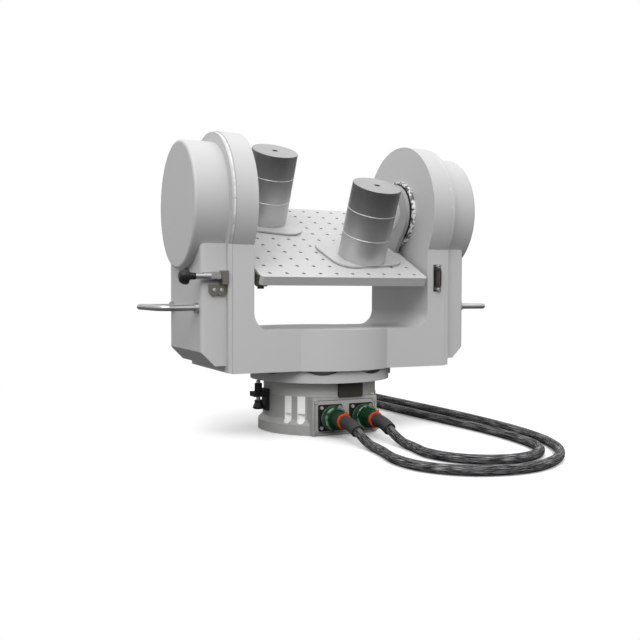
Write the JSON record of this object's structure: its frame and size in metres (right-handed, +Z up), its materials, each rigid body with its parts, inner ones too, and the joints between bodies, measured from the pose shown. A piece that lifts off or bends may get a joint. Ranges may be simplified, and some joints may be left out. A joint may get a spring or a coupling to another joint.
{
  "type": "optical gimbal mount",
  "caption": "Motor-driven optical gimbal mount: a breadboard platform tilts between the arms of a yoke that turns on a round base, with stow plungers, counterweights and two cables.",
  "frame": {"origin": "azimuth axis at the underside of the base", "axes": "+Z up along the azimuth axis, +X along the elevation axis towards the side with the D-sub connector, -Y towards the connector panel"},
  "size_m": [0.522, 0.8185, 0.4257],
  "materials": {
    "light_paint": "satin",
    "platform_paint": "satin",
    "base_paint": "satin",
    "weight_steel": "turned",
    "stainless": "polished",
    "bright_aluminium": "machined",
    "dark_metal": "matt",
    "copper_pack": "varnished",
    "green_anodised": "satin",
    "orange_plastic": "matt",
    "black_plastic": "matt",
    "rubber": "matt",
    "sleeve": "woven"
  },
  "bodies": {
    "base": {"base_housing": "base_paint", "connector_panel": "base_paint", "panel_screws": "stainless", "azimuth_bearing_housing": "base_paint", "azimuth_outer_race": "stainless", "azimuth_motor_stator": "copper_pack", "azimuth_read_head": "black_plastic", "azimuth_stop_block": "dark_metal", "azimuth_plunger_bracket": "bright_aluminium", "azimuth_plunger_barrel": "stainless", "left_connector_shell": "green_anodised", "right_connector_shell": "green_anodised", "backshells": "green_anodised", "clamp_rings": "orange_plastic", "cable_boots": "rubber", "left_cable": "sleeve", "right_cable": "sleeve", "left_cable_coil": "sleeve", "right_cable_coil": "sleeve", "left_cable_plug": "black_plastic", "right_cable_plug": "black_plastic"},
    "left_nut": {"left_coupling_nut": "green_anodised"},
    "right_nut": {"right_coupling_nut": "green_anodised"},
    "azimuth_pin": {"azimuth_plunger_pin": "stainless", "azimuth_plunger_knob": "black_plastic"},
    "yoke": {"turntable": "light_paint", "azimuth_shaft": "stainless", "azimuth_inner_race": "stainless", "azimuth_motor_rotor": "copper_pack", "azimuth_encoder_disc": "bright_aluminium", "azimuth_stop_dog": "stainless", "azimuth_home_flag": "bright_aluminium", "yoke_frame": "light_paint", "left_side_cover": "light_paint", "right_side_cover": "light_paint", "left_drum_cover": "light_paint", "right_drum_cover": "light_paint", "handles": "stainless", "handle_ferrules": "stainless", "elevation_outer_races": "stainless", "bearing_retainers": "bright_aluminium", "elevation_motor_stator": "copper_pack", "elevation_read_head": "black_plastic", "elevation_plunger_bracket": "bright_aluminium", "elevation_plunger_barrel": "stainless", "dsub_shell": "stainless"},
    "elevation_pin": {"elevation_plunger_pin": "stainless", "elevation_plunger_knob": "black_plastic"},
    "platform": {"platform": "platform_paint", "stow_receiver": "bright_aluminium", "left_upright": "light_paint", "right_upright": "light_paint", "trunnions": "stainless", "elevation_inner_races": "stainless", "elevation_motor_rotor": "copper_pack", "elevation_encoder_disc": "bright_aluminium", "left_weights": "weight_steel", "right_weights": "weight_steel", "left_seat_plate": "bright_aluminium", "right_seat_plate": "bright_aluminium"}
  },
  "joints": [
    {"name": "azimuth", "type": "hinge", "parent": "base", "child": "yoke", "pos_m": [0, 0, 0], "axis": [0, 0, 1], "range_deg": [-159, 160]},
    {"name": "elevation", "type": "hinge", "parent": "yoke", "child": "platform", "pos_m": [0, 0, 0.319], "axis": [-1, 0, 0], "range_deg": [-4.7, 115.3]},
    {"name": "elevation_stow_pin", "type": "slide", "parent": "yoke", "child": "elevation_pin", "axis": [1, 0, 0], "range_m": [0, 0.01]},
    {"name": "azimuth_stow_pin", "type": "slide", "parent": "base", "child": "azimuth_pin", "axis": [0, 0, 1], "range_m": [0, 0.005]},
    {"name": "left_nut_turn", "type": "hinge", "parent": "base", "child": "left_nut", "pos_m": [-0.024, -0.099, 0.0256], "axis": [0, -1, 0], "range_deg": [0, 120]},
    {"name": "right_nut_turn", "type": "hinge", "parent": "base", "child": "right_nut", "pos_m": [0.024, -0.099, 0.0256], "axis": [0, -1, 0], "range_deg": [0, 120]}
  ]
}
